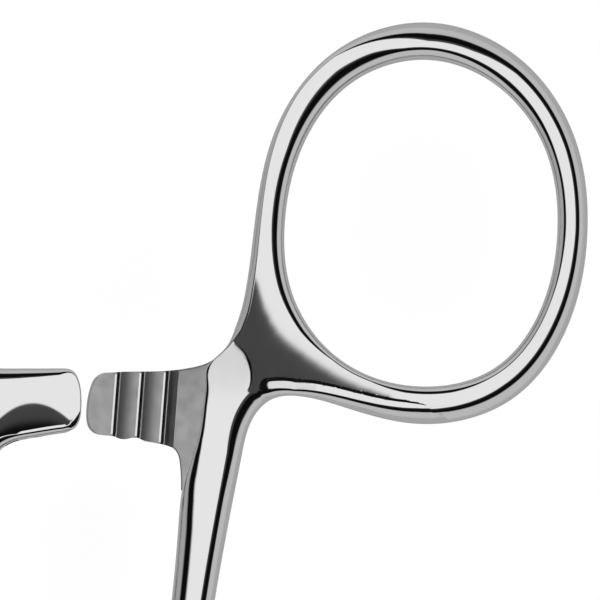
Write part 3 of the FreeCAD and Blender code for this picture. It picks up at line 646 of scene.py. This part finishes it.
def arm_back(name, turned_over, line):
    """The smooth outer half of the arm's thickness, with its rolled rim."""
    place = placed(turned_over)
    turn = place.to_3x3().normalized()
    toward = arm_inward(line)
    many = len(line)
    bevel, roll, ledge = widths_along(line, back_places, period=many)
    inset, drop = zip(*(rim_row(row, bevel, roll) for row in range(rows)))
    leans = list(rim_lean) + [0.0]
    inset, drop = list(inset) + [bevel + roll + ledge], list(drop) + [0 * bevel]
    rings = [line + np.array(d)[:, None] * toward for d in inset]
    inner = rings[-1]
    base = arm_back_height(inner)
    grid = spot_grid(-2.4, 9, 67.2, 78.6, 0.14)
    grid = grid[inside_loop(grid, inner)]
    grid = grid[nearest(grid, inner)[0] > 0.07]
    flat = np.vstack([inner, grid])
    edges = [(i, (i + 1) % many) for i in range(many)]
    made = delaunay_2d_cdt([Vector(p) for p in flat], edges, [], 1, 1e-6)
    sheet_spots = np.array([tuple(p) for p in made[0]])
    index = {tags[0]: i for i, tags in enumerate(made[3]) if tags}
    plan, height, starts = [sheet_spots], [arm_back_height(sheet_spots)], []
    at = len(sheet_spots)
    for row in range(rows):
        starts.append(at)
        plan.append(rings[row])
        height.append(base + np.array(drop[row]))
        at += many
    wall = at
    plan.append(line)
    height.append(np.full(many, joint_height))
    tilt = slope_of(arm_back_height, sheet_spots, 0.01)
    faces, ways = [], []
    for a, b, c in made[2]:
        area = np.cross(sheet_spots[b] - sheet_spots[a], sheet_spots[c] - sheet_spots[a])
        order = (a, c, b) if area > 0 else (a, b, c)
        faces.append(list(order))
        ways.append([(tilt[k][0], tilt[k][1], -1.0) for k in order])

    def corner(row, i):
        return index[i] if row == rows else starts[row] + i

    def way(row, i):
        lean = leans[row]
        return (-toward[i][0] * math.sin(lean), -toward[i][1] * math.sin(lean), -math.cos(lean))

    for row in range(rows):
        for i in range(many):
            j = (i + 1) % many
            order = [(row, i), (row + 1, i), (row + 1, j), (row, j)]
            faces.append([corner(r, k) for r, k in order])
            ways.append([way(r, k) for r, k in order])
    for i in range(many):
        j = (i + 1) % many
        faces.append([starts[0] + i, starts[0] + j, wall + j, wall + i])
        ways.append([(*-toward[k], 0) for k in (i, j, j, i)])
    faces.append([wall + i for i in range(many)])
    ways.append([(0, 0, 1)] * many)
    points = np.column_stack([np.vstack(plan), np.concatenate(height)])
    mesh = bpy.data.meshes.new(name)
    mesh.from_pydata([place @ Vector(p) for p in points], [], faces)
    mesh.polygons.foreach_set("use_smooth", [True] * len(mesh.polygons))
    mesh.normals_split_custom_set([(turn @ Vector(n)).normalized() for face in ways for n in face])
    mesh.materials.append(polished)
    return new_piece(name, mesh)


def closed_form(name, loops):
    """A solid from rings of corners laid one on the other."""
    form = bmesh.new()
    rings = [[form.verts.new(corner) for corner in loop] for loop in loops]
    for low, high in zip(rings, rings[1:]):
        for i in range(len(low)):
            j = (i + 1) % len(low)
            form.faces.new([low[i], low[j], high[j], high[i]])
    form.faces.new(rings[0][::-1])
    form.faces.new(rings[-1])
    bmesh.ops.recalc_face_normals(form, faces=form.faces[:])
    mesh = bpy.data.meshes.new(name)
    form.to_mesh(mesh)
    form.free()
    return new_piece(name, mesh)


# Rounded edge of the arm's face: how far in and how far down, for a width of 1, and
# that width along the arm and how much more it is at the tip
edge_across = [0, 0.04, 0.12, 0.25, 0.42, 0.62, 0.82, 1.0]
edge_down = [1.05, 0.75, 0.5, 0.34, 0.2, 0.09, 0.025, 0]
edge_width, more_at_tip = 0.13, 0.27


def arm_face_blank(name, turned_over, line):
    """The toothed half of the arm's thickness before the teeth are cut."""
    place = placed(turned_over)
    toward = arm_inward(line)
    width = edge_width + more_at_tip * (1 - smooth_step(line[:, 0], -1.9, -1.2))
    loops = [[place @ Vector((x, y, joint_height)) for x, y in line]]
    for a, d in zip(edge_across, edge_down):
        ring = line + toward * (a * width)[:, None]
        heights = crest - d * width
        loops.append([place @ Vector((x, y, z)) for (x, y), z in zip(ring, heights)])
    return closed_form(name, loops)


# The teeth lie a little askew of the arm, about its middle line
tooth_middle, tooth_turn = 74.05, math.radians(-2.3)


def wheel_cut(name, profile, turned_over):
    """A prism across the arm with the given profile, lying along the teeth."""
    lean = Matrix.Rotation(tooth_turn, 4, "Z")
    along = placed(turned_over) @ Matrix.Translation((0, tooth_middle, 0)) @ lean
    ends = [[along @ Vector((x, y, z)) for x, z in profile] for y in (-4.5, 4.5)]
    return closed_form(name, ends)


def tooth_tree(cuts):
    """Repeats the first cut along the arm, and takes it and the other cuts away."""
    tree = bpy.data.node_groups.new("ratchet_teeth", "GeometryNodeTree")
    tree.interface.new_socket("Arm", in_out="INPUT", socket_type="NodeSocketGeometry")
    tree.interface.new_socket("Teeth", in_out="INPUT", socket_type="NodeSocketInt")
    for name in ("First tooth", "Pitch"):
        tree.interface.new_socket(name, in_out="INPUT", socket_type="NodeSocketVector")
    tree.interface.new_socket("Arm", in_out="OUTPUT", socket_type="NodeSocketGeometry")
    nodes, links = tree.nodes, tree.links
    source, result = nodes.new("NodeGroupInput"), nodes.new("NodeGroupOutput")
    row = nodes.new("GeometryNodeMeshLine")
    links.new(source.outputs["Teeth"], row.inputs["Count"])
    links.new(source.outputs["First tooth"], row.inputs["Start Location"])
    links.new(source.outputs["Pitch"], row.inputs["Offset"])
    repeat = nodes.new("GeometryNodeInstanceOnPoints")
    real = nodes.new("GeometryNodeRealizeInstances")
    cut = nodes.new("GeometryNodeMeshBoolean")
    cut.operation = "DIFFERENCE"
    cut.solver = "EXACT"
    cut.inputs["Self Intersection"].default_value = True
    solid = nodes.new("GeometryNodeRealizeInstances")
    finish = nodes.new("GeometryNodeSetMaterial")
    finish.inputs["Material"].default_value = satin
    links.new(row.outputs["Mesh"], repeat.inputs["Points"])
    for number, tool in enumerate(cuts):
        info = nodes.new("GeometryNodeObjectInfo")
        info.inputs["Object"].default_value = tool
        taker = repeat.inputs["Instance"] if number == 0 else cut.inputs["Mesh 2"]
        links.new(info.outputs["Geometry"], taker)
    links.new(repeat.outputs["Instances"], real.inputs["Geometry"])
    links.new(real.outputs["Geometry"], cut.inputs["Mesh 2"])
    links.new(source.outputs["Arm"], cut.inputs["Mesh 1"])
    links.new(cut.outputs["Mesh"], solid.inputs["Geometry"])
    links.new(solid.outputs["Geometry"], finish.inputs["Geometry"])
    links.new(finish.outputs["Geometry"], result.inputs["Arm"])
    return tree


# Floor of the tooth gaps, the teeth's pitch, the first tooth's upright flank and the
# height that the wheel comes down from
root, pitch, first, above = -0.44, 1.94, -0.09, 0.6


def toothed_face(name, turned_over, line):
    """The arm's face with its teeth cut: each gap rises in a curve from floor to crest."""
    face = arm_face_blank(name, turned_over, line)
    rise = [
        (0.31 + (pitch - 0.45) * u, root + (crest - 0.02 - root) * (1.6 * u - 0.6 * u * u))
        for u in np.linspace(0, 1, 11)
    ]
    notch = [(0.0, above), (0.0, crest), (0.12, -0.8), (0.24, root)]
    one_gap = wheel_cut("tooth_gap", notch + rise + [(pitch - 0.14, above)], turned_over)
    tip = [(-5, above), (-5, crest - 0.16), (first - 0.14, crest - 0.02), (first - 0.14, above)]
    last = first + 2 * pitch
    out = notch + [(0.31, root), (1.06, crest + 0.01), (1.06, above)]
    tools = [
        one_gap,
        wheel_cut("tip_clearance", tip, turned_over),
        wheel_cut("run_out", [(last + x, z) for x, z in out], turned_over),
    ]
    lean = placed(turned_over).to_3x3() @ Matrix.Rotation(tooth_turn, 3, "Z")
    teeth = face.modifiers.new("teeth", "NODES")
    teeth.node_group = tooth_tree(tools)
    sockets = teeth.node_group.interface.items_tree
    inputs = {i.name: i.identifier for i in sockets if i.in_out == "INPUT"}
    teeth[inputs["Teeth"]] = 2
    teeth[inputs["First tooth"]] = tuple(lean @ Vector((first, 0, 0)))
    teeth[inputs["Pitch"]] = tuple(lean @ Vector((pitch, 0, 0)))
    bpy.context.view_layer.update()
    view = bpy.context.evaluated_depsgraph_get()
    shaped = bpy.data.meshes.new_from_object(face.evaluated_get(view))
    face.modifiers.clear()
    face.data = shaped
    for tool in tools:
        bpy.data.objects.remove(tool)
    shaped.materials.clear()
    shaped.materials.append(satin)
    shaped.materials.append(polished)
    shaped.polygons.foreach_set("use_smooth", [True] * len(shaped.polygons))
    # The small level crests get the polished steel, with a clear edge round them
    up = -1 if turned_over else 1
    level = (placed(turned_over) @ Vector((0, 0, crest))).z
    form = bmesh.new()
    form.from_mesh(shaped)
    bmesh.ops.remove_doubles(form, verts=form.verts, dist=1e-7)
    worn = set()
    for part in form.faces:
        top = part.normal.z * up > 0.999 and abs(part.calc_center_median().z - level) < 2e-6
        part.material_index = 0
        if top and part.calc_area() < 1.5e-6:
            part.material_index = 1
            worn.add(part)
    for edge in form.edges:
        if len(edge.link_faces) == 2:
            one, other = edge.link_faces
            flush = edge.calc_face_angle(0) < math.radians(20)
            edge.smooth = flush and (one in worn) == (other in worn)
    form.to_mesh(shaped)
    form.free()
    shaped.validate()
    return face


for side, body, turned_over, line in (
    ("right", "box_side", False, right_edge), ("left", "through_side", True, left_edge)
):
    smooth_half = arm_back(side + "_arm_back", turned_over, line)
    toothed_half = toothed_face(side + "_arm_teeth", turned_over, line)
    for piece in (smooth_half, toothed_half):
        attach(piece, body)


# Table top: a plain sheet of white paper that the instrument lies on. It keeps the
# shadow, shows white to the camera and a paler grey in the polished steel.
bpy.ops.mesh.primitive_plane_add(size=1.6, location=(0, 0.03, -0.0004))
table_top = bpy.context.object
table_top.name = "table_top"
paper = bpy.data.materials.new("white_paper")
paper.use_nodes = True
nodes, links = paper.node_tree.nodes, paper.node_tree.links
out, sheen = nodes["Material Output"], nodes["Principled BSDF"]
sheen.inputs["Base Color"].default_value = (0.8, 0.8, 0.8, 1)
sheen.inputs["Roughness"].default_value = 0.8
glow = nodes.new("ShaderNodeEmission")
seen = nodes.new("ShaderNodeMapRange")
seen.inputs["To Min"].default_value = 0.0
seen.inputs["To Max"].default_value = 0.9
path = nodes.new("ShaderNodeLightPath")
mirrored = nodes.new("ShaderNodeMath")
mirrored.operation = "MULTIPLY_ADD"
mirrored.inputs[1].default_value = 0.35
links.new(path.outputs["Is Camera Ray"], seen.inputs["Value"])
links.new(path.outputs["Is Glossy Ray"], mirrored.inputs[0])
links.new(seen.outputs["Result"], mirrored.inputs[2])
links.new(mirrored.outputs["Value"], glow.inputs["Strength"])
both = nodes.new("ShaderNodeAddShader")
links.new(sheen.outputs[0], both.inputs[0])
links.new(glow.outputs[0], both.inputs[1])
links.new(both.outputs[0], out.inputs["Surface"])
table_top.data.materials.append(paper)

# Light: a softbox straight above, dark card all round it and the pale room lower down.
# They are all far away, so they are drawn in the world.
world = bpy.data.worlds.new("studio")
bpy.context.scene.world = world
world.use_nodes = True
nodes, links = world.node_tree.nodes, world.node_tree.links
sky = nodes["Background"]
where = nodes.new("ShaderNodeTexCoord")
parts = nodes.new("ShaderNodeSeparateXYZ")
links.new(where.outputs["Generated"], parts.inputs[0])


def math_node(kind, a, b):
    node = nodes.new("ShaderNodeMath")
    node.operation = kind
    for slot, value in enumerate((a, b)):
        if isinstance(value, float):
            node.inputs[slot].default_value = value
        else:
            links.new(value, node.inputs[slot])
    return node.outputs[0]


def ramp(value, low, high, start=0.0, end=1.0):
    node = nodes.new("ShaderNodeMapRange")
    node.interpolation_type = "SMOOTHSTEP"
    links.new(value, node.inputs["Value"])
    node.inputs["From Min"].default_value = low
    node.inputs["From Max"].default_value = high
    node.inputs["To Min"].default_value = start
    node.inputs["To Max"].default_value = end
    return node.outputs["Result"]


# Place on a ceiling at height 1, where the softbox has four soft edges
up = math_node("MAXIMUM", parts.outputs["Z"], 0.02)
side = math_node("DIVIDE", parts.outputs["X"], up)
deep = math_node("DIVIDE", parts.outputs["Y"], up)
box = math_node("MULTIPLY", ramp(side, 0.17, 0.1), ramp(side, -0.7, -0.3))
box = math_node("MULTIPLY", box, ramp(deep, -0.22, -0.14))
box = math_node("MULTIPLY", box, ramp(deep, 0.19, 0.11))
room = ramp(parts.outputs["Z"], 0.45, 0.28, 0.004, 0.55)
halo = ramp(parts.outputs["Z"], 0.88, 0.95, 0.0, 0.062)
right_share = ramp(parts.outputs["X"], -0.95, -0.55, 0.78, 1.1)
room = math_node("MULTIPLY", room, right_share)
level = math_node("MAXIMUM", box, math_node("MAXIMUM", room, halo))
links.new(level, sky.inputs["Strength"])
sky.inputs["Color"].default_value = (1, 1, 1, 1)


# Camera: straight above the right-hand finger ring with a long lens, as in the
# photograph, in a square frame 48 mm wide at the height of the lock's middle.
camera_data = bpy.data.cameras.new("camera")
camera = bpy.data.objects.new("camera", camera_data)
bpy.context.scene.collection.objects.link(camera)
bpy.context.scene.camera = camera
camera.location = (0.01732, 0.0824, 0.7024)
sensor, rise_above, frame_width = 36, 0.7, 0.048
camera_data.sensor_width = sensor
camera_data.lens = sensor * rise_above / frame_width
camera_data.clip_end = 10

bpy.context.scene.view_settings.view_transform = "Standard"
